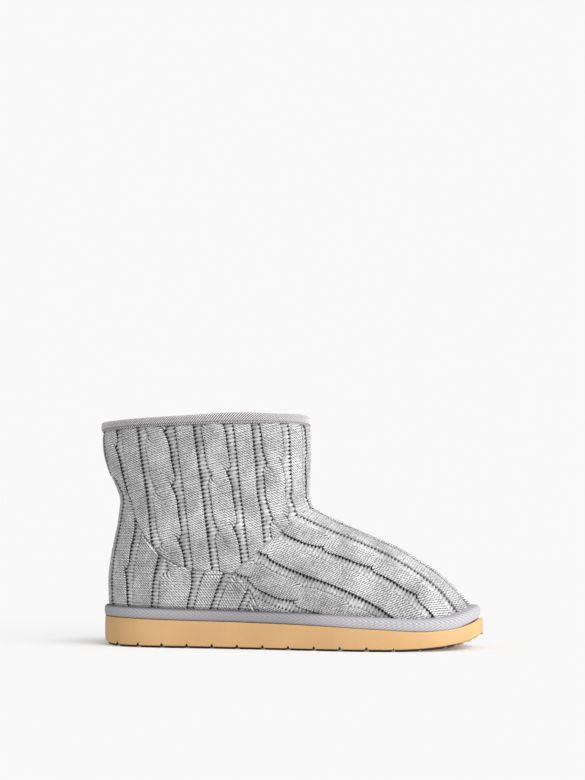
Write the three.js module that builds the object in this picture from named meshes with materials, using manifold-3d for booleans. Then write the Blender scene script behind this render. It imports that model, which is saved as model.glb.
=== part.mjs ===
// Pull-on ankle boot with a knitted upper, for the right foot.
// Millimetres. +X points to the toe, +Z is up and the outer side of the foot is on -Y.
import * as THREE from "three";
import { mergeVertices } from "three/addons/utils/BufferGeometryUtils.js";
import Module from "manifold-3d";

// Driving dimensions
const soleLength = 268;
const ballWidth = 98;
const bootHeight = 160.2;
const collarDrop = 3.2; // how much lower the collar is at the back
const collarLength = 149;
const collarWidth = 92;
const heelThickness = 20.8;
const toeSpring = 9.5;
const upperWall = 3.6;
const bandHeight = 7.6;
const bandGrowth = 0.9; // extra height of the band at the toe
const bindingHeight = 7.3;
const bindingThickness = 1.1;
const counterThickness = 1.4;
const insoleThickness = 5;
const grooveStart = 34.4; // along the sole's edge, from the middle of the heel
const groovePitch = 17.8;
const grooveCount = 14;
const scallopPitch = 8;
const scallopCount = 4;
const grooveWidth = 2;
const grooveDepth = 2.2;
const edgeRound = 0.9; // chamfer round the underside of the sole
const clearance = 0.3; // between pieces that meet

// Faces round each ring. Even, so that every point has a partner on the other side.
const ringSteps = 64;
const soleRingSteps = 96;

// The sole seen from above. Width and shift are shares of half the ball width, width on the
// half-ellipse that the outline is worked out from, shift towards the inner side of the foot.
const solePlan = [
  { along: 0.0, width: 1.36, shift: 0.0 },
  { along: 0.25, width: 0.845, shift: -0.024 },
  { along: 0.5, width: 0.795, shift: -0.024 },
  { along: 0.75, width: 1.12, shift: 0.08 },
  { along: 1.0, width: 1.4, shift: 0.09 },
];

// Top of the sole, as shares of the heel's thickness.
const soleTop = [
  { along: 0.0, top: 1.0 },
  { along: 0.2, top: 0.923 },
  { along: 0.4, top: 0.879 },
  { along: 0.6, top: 0.802 },
  { along: 0.75, top: 0.707 },
  { along: 0.88, top: 0.65 },
  { along: 0.95, top: 0.764 },
  { along: 1.0, top: 1.02 },
];

// Underside of the sole, as shares of the toe spring. It is flat from heel to ball.
const soleUnderside = [
  { along: 0.0, lift: 0.155 },
  { along: 0.04, lift: 0.037 },
  { along: 0.1, lift: 0.0 },
  { along: 0.2, lift: 0.0 },
  { along: 0.74, lift: 0.0 },
  { along: 0.8, lift: 0.015 },
  { along: 0.86, lift: 0.09 },
  { along: 0.92, lift: 0.28 },
  { along: 0.965, lift: 0.56 },
  { along: 1.0, lift: 1.0 },
];

// Rings of the upper. Height is the share from the sole's top to the collar's edge. The others
// are shares of a length and a half width that pass from the sole's to the collar's on the way
// up: where the ring ends, back and front, and the size of the half-ellipse it is worked out
// from, at its back end, at each quarter of its length and at its front end.
const upperRings = [
  { height: 0, back: 0.0090, front: 0.981, heel: 1.200, waist: 0.785, middle: 0.735, ball: 1.075, toe: 1.300 },
  { height: 0.08, back: 0.0082, front: 0.966, heel: 1.210, waist: 0.810, middle: 0.755, ball: 1.095, toe: 1.400 },
  { height: 0.2, back: 0.0078, front: 0.914, heel: 1.200, waist: 0.860, middle: 0.755, ball: 1.020, toe: 1.420 },
  { height: 0.32, back: 0.0157, front: 0.828, heel: 1.160, waist: 0.890, middle: 0.775, ball: 0.875, toe: 1.240 },
  { height: 0.42, back: 0.0277, front: 0.738, heel: 1.104, waist: 0.894, middle: 0.803, ball: 0.768, toe: 1.004 },
  { height: 0.5, back: 0.0401, front: 0.696, heel: 1.057, waist: 0.894, middle: 0.833, ball: 0.777, toe: 0.793 },
  { height: 0.545, back: 0.0454, front: 0.690, heel: 1.025, waist: 0.892, middle: 0.846, ball: 0.841, toe: 0.820 },
  { height: 0.6, back: 0.0503, front: 0.740, heel: 1.021, waist: 0.897, middle: 0.861, ball: 0.902, toe: 1.016 },
  { height: 0.65, back: 0.0456, front: 0.816, heel: 1.042, waist: 0.920, middle: 0.885, ball: 0.927, toe: 1.079 },
  { height: 0.7, back: 0.0329, front: 0.896, heel: 1.067, waist: 0.940, middle: 0.909, ball: 0.951, toe: 1.120 },
  { height: 0.77, back: 0.0106, front: 0.979, heel: 1.107, waist: 0.972, middle: 0.940, ball: 0.977, toe: 1.149 },
  { height: 0.84, back: -0.0067, front: 0.991, heel: 1.140, waist: 0.996, middle: 0.964, ball: 0.996, toe: 1.172 },
  { height: 0.94, back: -0.0114, front: 0.991, heel: 1.161, waist: 1.017, middle: 0.991, ball: 1.017, toe: 1.193 },
  { height: 1, back: -0.0034, front: 0.983, heel: 1.140, waist: 1.001, middle: 0.975, ball: 1.001, toe: 1.172 },
];
const shaftFrom = 0.35; // height shares between which the foot's sizes pass to the collar's
const shaftAt = 0.8;
const straightBy = 0.55; // height share at which the rings have lost the foot's bend
const ringHeights = [0.0, 0.05, 0.1, 0.16, 0.22, 0.28, 0.34, 0.4, 0.45, 0.5, 0.545, 0.59, 0.64, 0.72, 0.8, 0.88, 0.945];

// Upper edge of the heel counter seen from the side, the same on both sides of the foot, as
// shares of the sole's length and of the boot's height.
const counterEdge = [
  { along: -0.03, rise: 0.75 },
  { along: 0.057, rise: 0.721 },
  { along: 0.079, rise: 0.672 },
  { along: 0.105, rise: 0.575 },
  { along: 0.123, rise: 0.522 },
  { along: 0.152, rise: 0.453 },
  { along: 0.187, rise: 0.393 },
  { along: 0.224, rise: 0.358 },
  { along: 0.284, rise: 0.327 },
  { along: 0.347, rise: 0.323 },
  { along: 0.388, rise: 0.302 },
  { along: 0.418, rise: 0.25 },
  { along: 0.442, rise: 0.17 },
  { along: 0.45, rise: 0.12 },
];
const counterEdgeSteps = 40;
const counterReach = 0.5; // share of the ring, heel to toe, that the counter stays within

// A smooth curve through one column of a table, with each row's own place along it.
function along(table, place, column, at) {
  const last = table.length - 1;
  const x = THREE.MathUtils.clamp(at, table[0][place], table[last][place]);
  let row = 0;
  while (row < last - 1 && x > table[row + 1][place]) row += 1;
  const rise = (i) =>
    (table[i + 1][column] - table[i][column]) / (table[i + 1][place] - table[i][place]);
  const inner = (i) => {
    const before = table[i][place] - table[i - 1][place];
    const after = table[i + 1][place] - table[i][place];
    return (rise(i - 1) * after + rise(i) * before) / (before + after);
  };
  const slope = (i) => {
    if (i === 0) return 2 * rise(0) - inner(1);
    return i === last ? 2 * rise(last - 1) - inner(last - 1) : inner(i);
  };
  const step = table[row + 1][place] - table[row][place];
  const t = (x - table[row][place]) / step;
  const start = table[row][column];
  const end = table[row + 1][column];
  return (
    start +
    (end - start) * (3 - 2 * t) * t * t +
    step * t * (1 - t) * (slope(row) * (1 - t) - slope(row + 1) * t)
  );
}

const shaftShare = (height) => THREE.MathUtils.smoothstep(height, shaftFrom, shaftAt);
const passing = (foot, collar, height) => THREE.MathUtils.lerp(foot, collar, shaftShare(height));
const soleTopAt = (x) => heelThickness * along(soleTop, "along", "top", x / soleLength);
const soleBottomAt = (x) => toeSpring * along(soleUnderside, "along", "lift", x / soleLength);
const bendAt = (x) => (ballWidth / 2) * along(solePlan, "along", "shift", x / soleLength);
const collarAt = (x) => bootHeight - collarDrop * (1 - THREE.MathUtils.clamp(x / collarLength, 0, 1));

// Point on the sole's edge. The angle runs from the heel, round the outer side, to the toe.
function soleEdge(angle) {
  const share = (1 - Math.cos(angle)) / 2;
  const half = (ballWidth / 2) * along(solePlan, "along", "width", share);
  const x = soleLength * share;
  return new THREE.Vector2(x, bendAt(x) - half * Math.sin(angle));
}

const ringColumns = ["heel", "waist", "middle", "ball", "toe"];

// Point on the outside of the upper, at an angle round the ring and a share of its height.
function upperSurface(angle, height) {
  const share = (1 - Math.cos(angle)) / 2;
  const length = passing(soleLength, collarLength, height);
  const width = passing(ballWidth, collarWidth, height);
  const back = length * along(upperRings, "height", "back", height);
  const front = length * along(upperRings, "height", "front", height);
  const widths = ringColumns.map((column, i) => ({
    along: i / (ringColumns.length - 1),
    width: along(upperRings, "height", column, height),
  }));
  const half = (width / 2) * along(widths, "along", "width", share);
  const x = back + (front - back) * share;
  const bend = bendAt(x) * (1 - THREE.MathUtils.smoothstep(height, 0, straightBy));
  const foot = soleTopAt(x) + clearance;
  const z = foot + (collarAt(x) - foot) * height;
  return new THREE.Vector3(x, bend - half * Math.sin(angle), z);
}

const slopeStep = 0.002; // of angle and height, for measuring a slope

// The same point moved along the surface's outward normal.
function upperOffset(angle, height, distance) {
  const step = slopeStep;
  const low = Math.max(height - step, 0);
  const round = upperSurface(angle + step, height).sub(upperSurface(angle - step, height));
  const up = upperSurface(angle, height + step).sub(upperSurface(angle, low));
  return upperSurface(angle, height).addScaledVector(round.cross(up).normalize(), distance);
}

// The same point moved level with the floor, away from the ring's middle.
function levelOffset(angle, height, distance) {
  const step = slopeStep;
  const round = upperSurface(angle + step, height).sub(upperSurface(angle - step, height));
  const out = new THREE.Vector3(round.y, -round.x, 0).normalize();
  return upperSurface(angle, height).addScaledVector(out, distance);
}

// Geometry of a grid of points, row after row, whose quads are cut into triangles.
function gridGeometry(rows, closedAround, closedAcross, caps = []) {
  const across = rows[0].length;
  const positions = rows.flat().flatMap((p) => [p.x, p.y, p.z]);
  const index = [];
  const lastRow = closedAround ? rows.length : rows.length - 1;
  const lastColumn = closedAcross ? across : across - 1;
  for (let i = 0; i < lastRow; i += 1)
    for (let k = 0; k < lastColumn; k += 1) {
      const next = (i + 1) % rows.length;
      const a = i * across + k;
      const b = next * across + k;
      const c = next * across + ((k + 1) % across);
      const d = i * across + ((k + 1) % across);
      index.push(a, b, c, a, c, d);
    }
  const geometry = new THREE.BufferGeometry();
  geometry.setAttribute("position", new THREE.Float32BufferAttribute(positions, 3));
  geometry.setIndex([...index, ...caps]);
  geometry.computeVertexNormals();
  return geometry;
}

// A closed hoop: one section, a closed loop of points, for each angle round the boot.
function hoopGeometry(count, section) {
  const rows = Array.from({ length: count }, (_, i) => section((2 * Math.PI * i) / count));
  return gridGeometry(rows, true, true);
}

// A closed slab: for each angle a line of points up its edge, with the bottom and the top filled
// by strips that join each point to its partner on the other side of the foot.
function slabGeometry(count, edgeLine) {
  const rows = Array.from({ length: count }, (_, i) => edgeLine((2 * Math.PI * i) / count));
  const up = rows[0].length;
  const caps = [];
  const quad = (a, b, c, d) => caps.push(a, b, c, a, c, d);
  for (let i = 0; i < count / 2; i += 1) {
    const near = i * up;
    const nearNext = (i + 1) * up;
    const far = ((count - i) % count) * up;
    const farNext = (count - i - 1) * up;
    const top = up - 1;
    if (i === 0) {
      caps.push(near, farNext, nearNext, near + top, nearNext + top, farNext + top);
    } else if (i === count / 2 - 1) {
      caps.push(near, far, nearNext, near + top, nearNext + top, far + top);
    } else {
      quad(near, far, farNext, nearNext);
      quad(near + top, nearNext + top, farNext + top, far + top);
    }
  }
  return gridGeometry(rows, true, false, caps);
}

// Solid bodies for cutting
const mergeWithin = 1e-4;
const wasm = await Module();
wasm.setup();

function toSolid(geometry) {
  const bare = geometry.clone();
  bare.deleteAttribute("normal");
  bare.deleteAttribute("uv");
  const merged = mergeVertices(bare, mergeWithin);
  const mesh = new wasm.Mesh({
    numProp: 3,
    vertProperties: new Float32Array(merged.attributes.position.array),
    triVerts: new Uint32Array(merged.index.array),
  });
  return new wasm.Manifold(mesh);
}

function toGeometry(solid) {
  const mesh = solid.getMesh();
  const geometry = new THREE.BufferGeometry();
  geometry.setAttribute("position", new THREE.Float32BufferAttribute(mesh.vertProperties, 3));
  geometry.setIndex(Array.from(mesh.triVerts));
  geometry.computeVertexNormals();
  return geometry;
}

// Where each groove crosses: equal steps along the sole's outer edge, shorter ones round the toe.
function groovePlaces() {
  const wanted = Array.from({ length: grooveCount }, (_, i) => grooveStart + i * groovePitch);
  for (let i = 1; i <= scallopCount; i += 1)
    wanted.push(wanted[grooveCount - 1] + i * scallopPitch);
  const steps = 720;
  const places = [];
  let walked = 0;
  let before = soleEdge(0);
  for (let i = 1; i <= steps && places.length < wanted.length; i += 1) {
    const here = soleEdge((Math.PI * i) / steps);
    walked += here.distanceTo(before);
    if (walked >= wanted[places.length]) places.push(here.x);
    before = here;
  }
  return places;
}

// A three-sided bar across the underside, deepest along its middle.
function grooveBar(x) {
  const floor = soleBottomAt(x);
  const slope = (soleBottomAt(x + grooveWidth) - soleBottomAt(x - grooveWidth)) / (2 * grooveWidth);
  const reach = grooveWidth; // the bar starts this far below the underside
  const mouth = (grooveWidth / 2) * ((grooveDepth + reach) / grooveDepth);
  const shape = new THREE.Shape([
    new THREE.Vector2(-mouth, -reach),
    new THREE.Vector2(mouth, -reach),
    new THREE.Vector2(0, grooveDepth),
  ]);
  const bar = new THREE.ExtrudeGeometry(shape, { depth: 2 * ballWidth, bevelEnabled: false });
  bar.translate(0, 0, -ballWidth);
  bar.rotateX(Math.PI / 2);
  bar.rotateY(-Math.atan(slope));
  bar.translate(x, 0, floor);
  return bar;
}

function outsoleGeometry() {
  const slab = slabGeometry(soleRingSteps, (angle) => {
    const edge = soleEdge(angle);
    const ahead = soleEdge(angle + slopeStep).sub(soleEdge(angle - slopeStep)).normalize();
    const inset = new THREE.Vector2(-ahead.y, ahead.x).multiplyScalar(edgeRound).add(edge);
    const level = (p, z) => new THREE.Vector3(p.x, p.y, z);
    return [
      level(inset, soleBottomAt(inset.x)),
      level(edge, soleBottomAt(edge.x) + edgeRound),
      level(edge, soleTopAt(edge.x)),
    ];
  });
  let solid = toSolid(slab);
  for (const place of groovePlaces()) solid = solid.subtract(toSolid(grooveBar(place)));
  return toGeometry(solid);
}

// Height shares of a wall's corners, measured up from the sole or down from the collar's edge.
const aboveSole = (distance) => distance / (bootHeight - heelThickness);
const belowCollar = (distance) => 1 - distance / (bootHeight - heelThickness);

function upperGeometry() {
  const rim = belowCollar(bindingThickness + clearance);
  const heights = [...ringHeights, rim];
  return hoopGeometry(ringSteps, (angle) => [
    ...heights.map((height) => upperSurface(angle, height)),
    ...heights.map((height) => levelOrNormal(angle, height, -upperWall)).reverse(),
  ]);
}

// The lowest and highest edges of the wall are cut level, so they are offset level too.
function levelOrNormal(angle, height, distance) {
  const levelEdge = height === 0 || height > ringHeights[ringHeights.length - 1];
  return levelEdge ? levelOffset(angle, height, distance) : upperOffset(angle, height, distance);
}

const bandTopAt = (x) => bandHeight + bandGrowth * THREE.MathUtils.clamp(x / soleLength, 0, 1);

function bandGeometry() {
  const roundShare = 0.24; // of the band's height and depth, at its outer corners
  return hoopGeometry(soleRingSteps, (angle) => {
    const edge = soleEdge(angle);
    const height = bandTopAt(edge.x);
    const foot = levelOffset(angle, 0, clearance);
    const head = levelOffset(angle, aboveSole(height + clearance), clearance);
    const base = soleTopAt(edge.x) + clearance;
    const point = (inside, out, up) =>
      new THREE.Vector3(
        inside.x + (edge.x - inside.x) * out,
        inside.y + (edge.y - inside.y) * out,
        base + height * up,
      );
    return [
      point(foot, 0, 0),
      point(foot, 1 - roundShare, 0),
      point(foot, 1, roundShare),
      point(foot, 1, 1 - roundShare),
      point(foot, 1 - roundShare, 1),
      point(head, 0, 1),
    ];
  });
}

function bindingGeometry() {
  const outside = clearance + bindingThickness;
  const inside = -upperWall - outside;
  return hoopGeometry(ringSteps, (angle) => {
    const point = (offset, down) => levelOffset(angle, belowCollar(down), offset);
    return [
      point(outside, bindingHeight),
      point(outside, bindingThickness),
      point(clearance, 0),
      point(-upperWall - clearance, 0),
      point(inside, bindingThickness),
      point(inside, bindingHeight),
      point(-upperWall - clearance, bindingHeight),
      point(-upperWall - clearance, bindingThickness),
      point(clearance, bindingThickness),
      point(clearance, bindingHeight),
    ];
  });
}

// The counter is a band over the upper's own faces, cut to its edge as seen from the side.
function counterGeometry() {
  const reach = (ringSteps / 2) * counterReach;
  const peak = Math.max(...counterEdge.map((row) => row.rise)) + aboveSole(counterThickness);
  const lowest = aboveSole(bandHeight + bandGrowth + 2 * clearance);
  const levels = ringHeights.filter((height) => height > lowest && height < peak);
  const rows = [];
  for (let i = -reach; i <= reach; i += 1) {
    const angle = (-2 * Math.PI * i) / ringSteps;
    const low = aboveSole(bandTopAt(upperSurface(angle, 0).x) + 2 * clearance);
    const heights = [low, ...levels, peak];
    rows.push([
      ...heights.map((h) => upperOffset(angle, h, clearance + counterThickness)).reverse(),
      ...heights.map((h) => upperOffset(angle, h, clearance)),
    ]);
  }
  const section = rows[0].length;
  const caps = [];
  for (let k = 0; k < section / 2 - 1; k += 1) {
    const [a, b, c, d] = [k, k + 1, section - 2 - k, section - 1 - k];
    const far = (rows.length - 1) * section;
    caps.push(a, b, c, a, c, d, far + a, far + c, far + b, far + a, far + d, far + c);
  }
  const edge = new THREE.SplineCurve(
    counterEdge.map((row) => new THREE.Vector2(row.along * soleLength, row.rise * bootHeight)),
  ).getPoints(counterEdgeSteps);
  const side = new THREE.Shape([
    ...edge,
    new THREE.Vector2(edge[edge.length - 1].x, 0),
    new THREE.Vector2(edge[0].x, 0),
  ]);
  const cutter = new THREE.ExtrudeGeometry(side, { depth: 2 * ballWidth, bevelEnabled: false });
  cutter.translate(0, 0, -ballWidth);
  cutter.rotateX(Math.PI / 2);
  return toGeometry(toSolid(gridGeometry(rows, false, true, caps)).intersect(toSolid(cutter)));
}

function insoleGeometry() {
  const low = clearance;
  const levels = [low, low + insoleThickness / 2, low + insoleThickness];
  return slabGeometry(ringSteps, (angle) =>
    levels.map((level) => {
      const p = levelOffset(angle, aboveSole(level), -upperWall - 2 * clearance);
      p.z = soleTopAt(p.x) + level;
      return p;
    }),
  );
}

const finishes = {
  foam: { color: 0xd9ae78, roughness: 0.7 },
  tape: { color: 0x94919a, roughness: 0.9 },
  knit: { color: 0xa9aaab, roughness: 1 },
  lining: { color: 0xc9c8c6, roughness: 1 },
};

function piece(name, geometry, finish) {
  const mesh = new THREE.Mesh(geometry, new THREE.MeshStandardMaterial({ metalness: 0, ...finish }));
  mesh.name = name;
  return mesh;
}

const boot = new THREE.Group();
boot.add(
  piece("outsole", outsoleGeometry(), finishes.foam),
  piece("foxing_band", bandGeometry(), finishes.tape),
  piece("upper", upperGeometry(), finishes.knit),
  piece("heel_counter", counterGeometry(), finishes.knit),
  piece("collar_binding", bindingGeometry(), finishes.tape),
  piece("insole", insoleGeometry(), finishes.lining),
);

// The origin is the middle of the footprint, on the floor.
const bounds = new THREE.Box3().setFromObject(boot, true);
const middle = bounds.getCenter(new THREE.Vector3());
boot.position.set(-middle.x, -middle.y, -bounds.min.z);

export default boot;
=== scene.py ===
# Looks of a knitted pull-on boot for the right foot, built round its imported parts.
# Metres, +X to the toe, +Z up, the outer side of the foot on -Y.
import math

import bmesh
import bpy
import numpy as np
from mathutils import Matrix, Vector


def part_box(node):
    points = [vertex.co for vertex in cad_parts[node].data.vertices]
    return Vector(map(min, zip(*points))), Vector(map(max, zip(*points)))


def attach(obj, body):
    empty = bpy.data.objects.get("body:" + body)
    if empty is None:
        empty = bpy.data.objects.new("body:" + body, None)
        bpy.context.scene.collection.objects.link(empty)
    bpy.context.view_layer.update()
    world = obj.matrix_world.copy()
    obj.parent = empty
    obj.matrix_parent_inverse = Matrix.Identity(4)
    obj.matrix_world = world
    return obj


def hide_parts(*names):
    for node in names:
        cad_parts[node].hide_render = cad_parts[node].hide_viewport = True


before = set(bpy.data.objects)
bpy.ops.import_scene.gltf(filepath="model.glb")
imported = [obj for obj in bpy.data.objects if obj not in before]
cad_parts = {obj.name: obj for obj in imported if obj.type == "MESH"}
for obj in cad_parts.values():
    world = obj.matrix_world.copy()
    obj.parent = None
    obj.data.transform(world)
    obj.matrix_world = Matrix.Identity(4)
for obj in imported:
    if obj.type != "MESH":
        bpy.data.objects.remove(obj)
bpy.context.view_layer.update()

mm = 0.001
scene = bpy.context.scene
scene.view_settings.view_transform = "Standard"

# Form of the last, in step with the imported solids
soleLow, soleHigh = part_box("outsole")
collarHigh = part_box("collar_binding")[1]
form = {
    "soleLength": soleHigh.x - soleLow.x,
    "ballWidth": 98 * mm,
    "bootHeight": collarHigh.z - 0.3 * mm,
    "collarDrop": 3.2 * mm,
    "collarLength": 149 * mm,
    "collarWidth": 92 * mm,
    "heelThickness": 20.8 * mm,
    "toeSpring": 9.5 * mm,
    "upperWall": 3.6 * mm,
    "clearance": 0.3 * mm,
    "shaftFrom": 0.35,  # height shares between which the foot's sizes pass to the collar's
    "shaftAt": 0.8,
    "straightBy": 0.55,
}
solePlan = {
    "along": [0, 0.25, 0.5, 0.75, 1],
    "width": [1.36, 0.845, 0.795, 1.12, 1.4],
    "shift": [0, -0.024, -0.024, 0.08, 0.09],
}
soleTop = {
    "along": [0, 0.2, 0.4, 0.6, 0.75, 0.88, 0.95, 1],
    "top": [1, 0.923, 0.879, 0.802, 0.707, 0.65, 0.764, 1.02],
}
soleUnder = {
    "along": [0, 0.04, 0.1, 0.2, 0.74, 0.8, 0.86, 0.92, 0.965, 1],
    "lift": [0.155, 0.037, 0, 0, 0, 0.015, 0.09, 0.28, 0.56, 1],
}
rings = {
    "height": [0, 0.08, 0.2, 0.32, 0.42, 0.5, 0.545, 0.6, 0.65, 0.7, 0.77, 0.84, 0.94, 1],
    "back": [0.009, 0.0082, 0.0078, 0.0157, 0.0277, 0.0401, 0.0454, 0.0503, 0.0456, 0.0329,
             0.0106, -0.0067, -0.0114, -0.0034],
    "front": [0.981, 0.966, 0.914, 0.828, 0.738, 0.696, 0.69, 0.74, 0.816, 0.896,
              0.979, 0.991, 0.991, 0.983],
    "heel": [1.2, 1.21, 1.2, 1.16, 1.104, 1.057, 1.025, 1.021, 1.042, 1.067,
             1.107, 1.14, 1.161, 1.14],
    "waist": [0.785, 0.81, 0.86, 0.89, 0.894, 0.894, 0.892, 0.897, 0.92, 0.94,
              0.972, 0.996, 1.017, 1.001],
    "middle": [0.735, 0.755, 0.755, 0.775, 0.803, 0.833, 0.846, 0.861, 0.885, 0.909,
               0.94, 0.964, 0.991, 0.975],
    "ball": [1.075, 1.095, 1.02, 0.875, 0.768, 0.777, 0.841, 0.902, 0.927, 0.951,
             0.977, 0.996, 1.017, 1.001],
    "toe": [1.3, 1.4, 1.42, 1.24, 1.004, 0.793, 0.82, 1.016, 1.079, 1.12,
            1.149, 1.172, 1.193, 1.172],
}


def smooth(x, low, high):
    t = np.clip((x - low) / (high - low), 0, 1)
    return t * t * (3 - 2 * t)


def bell(x, width):
    return np.exp(-(x / width) ** 2)


def walked(points):
    # the way along each row of points, from its first
    steps = np.linalg.norm(np.diff(points, axis=-2), axis=-1)
    return np.concatenate([np.zeros((*steps.shape[:-1], 1)), np.cumsum(steps, axis=-1)], axis=-1)


def curveThrough(places, values, at):
    # a smooth curve through a table; values may hold one row of numbers for each point of at
    places, values = np.asarray(places, float), np.asarray(values, float)
    at = np.clip(at, places[0], places[-1])
    gaps = np.diff(places)
    rises = np.diff(values, axis=-1) / gaps
    inner = (rises[..., :-1] * gaps[1:] + rises[..., 1:] * gaps[:-1]) / (gaps[:-1] + gaps[1:])
    first = 2 * rises[..., :1] - inner[..., :1]
    last = 2 * rises[..., -1:] - inner[..., -1:]
    slopes = np.concatenate([first, inner, last], axis=-1)
    row = np.clip(np.searchsorted(places, at) - 1, 0, len(places) - 2)
    t = (at - places[row]) / gaps[row]

    def pick(table, index):
        if table.ndim == 1:
            return table[index]
        return np.take_along_axis(table, index[..., None], -1)[..., 0]

    start, end = pick(values, row), pick(values, row + 1)
    bend = pick(slopes, row) * (1 - t) - pick(slopes, row + 1) * t
    return start + (end - start) * (3 - 2 * t) * t * t + gaps[row] * t * (1 - t) * bend


def soleTopAt(x):
    return form["heelThickness"] * curveThrough(soleTop["along"], soleTop["top"], x / form["soleLength"])


def soleUnderAt(x):
    return form["toeSpring"] * curveThrough(soleUnder["along"], soleUnder["lift"], x / form["soleLength"])


def bendAt(x):
    return form["ballWidth"] / 2 * curveThrough(solePlan["along"], solePlan["shift"], x / form["soleLength"])


def collarAt(x):
    return form["bootHeight"] - form["collarDrop"] * (1 - np.clip(x / form["collarLength"], 0, 1))


def soleEdge(angle):
    share = (1 - np.cos(angle)) / 2
    half = form["ballWidth"] / 2 * curveThrough(solePlan["along"], solePlan["width"], share)
    x = form["soleLength"] * share
    return np.stack([x, bendAt(x) - half * np.sin(angle)], -1)


def ringAt(name, height):
    return curveThrough(rings["height"], rings[name], height)


def upperPoint(angle, height):
    share = (1 - np.cos(angle)) / 2
    toCollar = smooth(height, form["shaftFrom"], form["shaftAt"])
    length = form["soleLength"] + (form["collarLength"] - form["soleLength"]) * toCollar
    width = form["ballWidth"] + (form["collarWidth"] - form["ballWidth"]) * toCollar
    back, front = length * ringAt("back", height), length * ringAt("front", height)
    widths = np.stack([ringAt(c, height) for c in ("heel", "waist", "middle", "ball", "toe")], -1)
    half = width / 2 * curveThrough([0, 0.25, 0.5, 0.75, 1], widths, share)
    x = back + (front - back) * share
    y = bendAt(x) * (1 - smooth(height, 0, form["straightBy"])) - half * np.sin(angle)
    foot = soleTopAt(x) + form["clearance"]
    return np.stack([x, y, foot + (collarAt(x) - foot) * height], -1)


allRound = np.radians(np.arange(0, 360, 0.5))
heelCorner = np.array([soleLow.x, soleLow.y - soleEdge(allRound)[:, 1].min(), 0])  # model to frame

# Soft dents and swells of the upper, drawn from the side and in millimetres: which side, where each
# starts and ends as (x, z), its width and its depth
folds = [
    (-1, (139, 104), (131, 85), 3.4, 1.5),
    (-1, (145, 100), (141, 91), 2.4, 1.1),
    (-1, (124, 109), (112, 93), 9, 1.6),
    (-1, (90, 73), (108, 63), 8, 1.2),
    (-1, (14, 105), (30, 91), 6, 1.2),
    (-1, (150, 83), (178, 61), 12, -1.0),
    (1, (138, 103), (128, 81), 3.6, 1.4),
    (1, (122, 107), (108, 91), 9, 1.5),
    (1, (16, 103), (34, 89), 6, 1.1),
    (1, (84, 75), (106, 61), 9, 1.1),
]


def offSegment(flat, start, end):
    # the way to each point from the nearest place of a straight piece
    along = end - start
    share = np.clip(((flat - start) @ along) / (along @ along), 0, 1)
    return flat - start - share[..., None] * along


def foldDepth(points):
    moved = np.zeros(points.shape[:-1])
    for side, start, end, width, depth in folds:
        off = offSegment(points[..., (0, 2)], np.array(start) * mm, np.array(end) * mm)
        there = smooth(points[..., 1] * side, 0, 14 * mm)
        moved -= depth * mm * bell(np.linalg.norm(off, axis=-1), width * mm) * there
    return moved


# The outside of the upper as a fine table of points, by angle round the boot and share of height
skinAngles = np.radians(np.arange(-100, 400.1, 0.5))
skinHeights = np.linspace(0, 1, 241)


def surfaceNormals(points):
    out = np.cross(np.gradient(points, axis=1), np.gradient(points, axis=0))
    return out / np.linalg.norm(out, axis=-1, keepdims=True)


skin = upperPoint(*np.meshgrid(skinAngles, skinHeights))
skin += surfaceNormals(skin) * foldDepth(skin)[..., None]
skinNormals = surfaceNormals(skin)


def stepOf(place, places):
    # where a place falls in an even list of places, counted in its steps
    return (place - places[0]) / (places[1] - places[0])


def between(table, column, row):
    # reads a table between its rows and columns
    row = np.clip(row, 0, table.shape[0] - 1.001)
    column = np.clip(column, 0, table.shape[1] - 1.001)
    j, i = row.astype(int), column.astype(int)
    v, u = row - j, column - i
    if table.ndim == 3:
        v, u = v[..., None], u[..., None]
    low = table[j, i] * (1 - u) + table[j, i + 1] * u
    high = table[j + 1, i] * (1 - u) + table[j + 1, i + 1] * u
    return low * (1 - v) + high * v


def onSkin(table, angle, height):
    angle, height = np.broadcast_arrays(angle, height)
    return between(table, stepOf(angle, skinAngles), stepOf(height, skinHeights))


wallHeight = form["bootHeight"] - form["heelThickness"]  # what a height share is a share of


def levelRing(angle, height, offset):
    out = onSkin(skinNormals, angle, height) * np.array([1, 1, 0])
    out = out / np.linalg.norm(out, axis=-1, keepdims=True)
    return onSkin(skin, angle, height) + out * np.asarray(offset)[..., None]


print("form ready")

# Camera at the photograph's place: level, a little to the heel's side of square on
view = {
    "distance": 850 * mm,
    "turn": math.radians(10.1),
    "height": 72 * mm,
    "aim": 134 * mm,  # from the back of the heel
    "focalPixels": 1206.2,
    "axisPixel": (290.1, 543.2),
    "framePixels": (585, 780),
    "sensor": 36,
}


def addObject(name, data):
    added = bpy.data.objects.new(name, data)
    scene.collection.objects.link(added)
    return added


def makeCamera():
    data = bpy.data.cameras.new("camera")
    camera = addObject("camera", data)
    wide, tall = view["framePixels"]
    data.sensor_width = view["sensor"]
    data.lens = view["focalPixels"] / tall * view["sensor"]
    data.shift_x = (wide / 2 - view["axisPixel"][0]) / tall
    data.shift_y = (view["axisPixel"][1] - tall / 2) / tall
    turn, far = view["turn"], view["distance"]
    camera.location = (
        heelCorner[0] + view["aim"] + math.sin(turn) * far,
        heelCorner[1] - math.cos(turn) * far,
        view["height"],
    )
    camera.rotation_euler = (math.pi / 2, 0, turn)
    scene.camera = camera


makeCamera()

# Seams drawn from the side, as (x, z) in millimetres
counterSeam = np.array([
    (-20, 122.2), (-8, 120.5), (15.3, 115.8), (21.2, 108), (28.1, 92.6), (33, 84.2), (40.7, 73.2),
    (50.1, 63.7), (60, 58.1), (76.1, 53.2), (93, 52.6), (104, 49.2), (112, 41), (118.5, 28.2), (121, 11.2),
]) * mm
vampSeam = np.array([
    (92, 44.2), (101.5, 52), (109.8, 58.7), (117.5, 65.4), (129.3, 75.7), (137.4, 83.7),
    (145, 91.2), (149.4, 97.6), (156, 107.2),
]) * mm


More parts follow.
